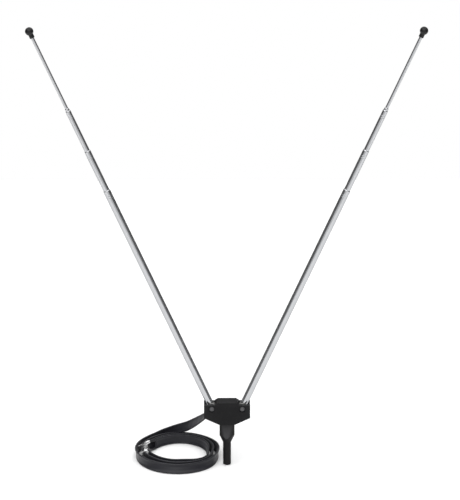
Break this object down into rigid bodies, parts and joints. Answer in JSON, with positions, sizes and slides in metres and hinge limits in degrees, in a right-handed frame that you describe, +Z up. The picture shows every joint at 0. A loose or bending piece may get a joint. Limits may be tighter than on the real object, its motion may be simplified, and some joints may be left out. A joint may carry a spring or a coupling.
{
  "type": "rabbit ears antenna",
  "caption": "Indoor V antenna with two chrome telescopic rods pivoting in a black plastic head, a plug-in peg below and a coiled flat twin lead with spade lugs.",
  "frame": {"origin": "end of the peg's straight round shank, on its axis", "axes": "+Z up the peg to the head, +X to the right seen from the front, +Y to the back"},
  "size_m": [0.3812, 0.0948, 0.443],
  "materials": {
    "black_plastic": "satin moulded black ABS",
    "lead_black": "soft black ribbed PVC",
    "chrome": "bright chrome plate",
    "bronze": "bare spring bronze and brass",
    "tin": "dull tin and nickel plate"
  },
  "bodies": {
    "root": {"front_shell": "black_plastic", "rear_shell": "black_plastic", "mounting_peg": "black_plastic", "left_pivot_rivet": "tin", "right_pivot_rivet": "tin", "left_wave_washer": "bronze", "right_wave_washer": "bronze", "left_solder_tag": "tin", "right_solder_tag": "tin", "left_lead_wire": "bronze", "right_lead_wire": "bronze", "lead_clamp": "black_plastic", "twin_lead": "lead_black", "twin_lead_coil": "lead_black", "upper_spade_lug": "tin", "lower_spade_lug": "tin"},
    "left_swing": {"left_knuckle": "chrome", "left_base_tube": "chrome"},
    "left_second": {"left_second_tube": "chrome", "left_second_spring": "bronze"},
    "left_third": {"left_third_tube": "chrome", "left_third_spring": "bronze"},
    "left_fourth": {"left_fourth_tube": "chrome", "left_fourth_spring": "bronze"},
    "left_tip": {"left_tip_rod": "chrome", "left_tip_spring": "bronze", "left_tip_cap": "black_plastic"},
    "right_swing": {"right_knuckle": "chrome", "right_base_tube": "chrome"},
    "right_second": {"right_second_tube": "chrome", "right_second_spring": "bronze"},
    "right_third": {"right_third_tube": "chrome", "right_third_spring": "bronze"},
    "right_fourth": {"right_fourth_tube": "chrome", "right_fourth_spring": "bronze"},
    "right_tip": {"right_tip_rod": "chrome", "right_tip_spring": "bronze", "right_tip_cap": "black_plastic"}
  },
  "joints": [
    {"name": "left_rod_swing", "type": "hinge", "parent": "root", "child": "left_swing", "pos_m": [-0.0152, 0, 0.0602], "axis": [0, -1, 0], "range_deg": [-24.4, 65.6]},
    {"name": "left_second_slide", "type": "slide", "parent": "left_swing", "child": "left_second", "axis": [-0.4131, 0, 0.9107], "range_m": [-0.041, 0.165]},
    {"name": "left_third_slide", "type": "slide", "parent": "left_second", "child": "left_third", "axis": [-0.4131, 0, 0.9107], "range_m": [-0.041, 0.165]},
    {"name": "left_fourth_slide", "type": "slide", "parent": "left_third", "child": "left_fourth", "axis": [-0.4131, 0, 0.9107], "range_m": [-0.0015, 0.205]},
    {"name": "left_tip_slide", "type": "slide", "parent": "left_fourth", "child": "left_tip", "axis": [-0.4131, 0, 0.9107], "range_m": [-0.0735, 0.134]},
    {"name": "right_rod_swing", "type": "hinge", "parent": "root", "child": "right_swing", "pos_m": [0.0152, 0, 0.0602], "axis": [0, 1, 0], "range_deg": [-24.4, 65.6]},
    {"name": "right_second_slide", "type": "slide", "parent": "right_swing", "child": "right_second", "axis": [0.4131, 0, 0.9107], "range_m": [-0.041, 0.165]},
    {"name": "right_third_slide", "type": "slide", "parent": "right_second", "child": "right_third", "axis": [0.4131, 0, 0.9107], "range_m": [-0.041, 0.165]},
    {"name": "right_fourth_slide", "type": "slide", "parent": "right_third", "child": "right_fourth", "axis": [0.4131, 0, 0.9107], "range_m": [-0.0015, 0.205]},
    {"name": "right_tip_slide", "type": "slide", "parent": "right_fourth", "child": "right_tip", "axis": [0.4131, 0, 0.9107], "range_m": [-0.0735, 0.134]}
  ]
}
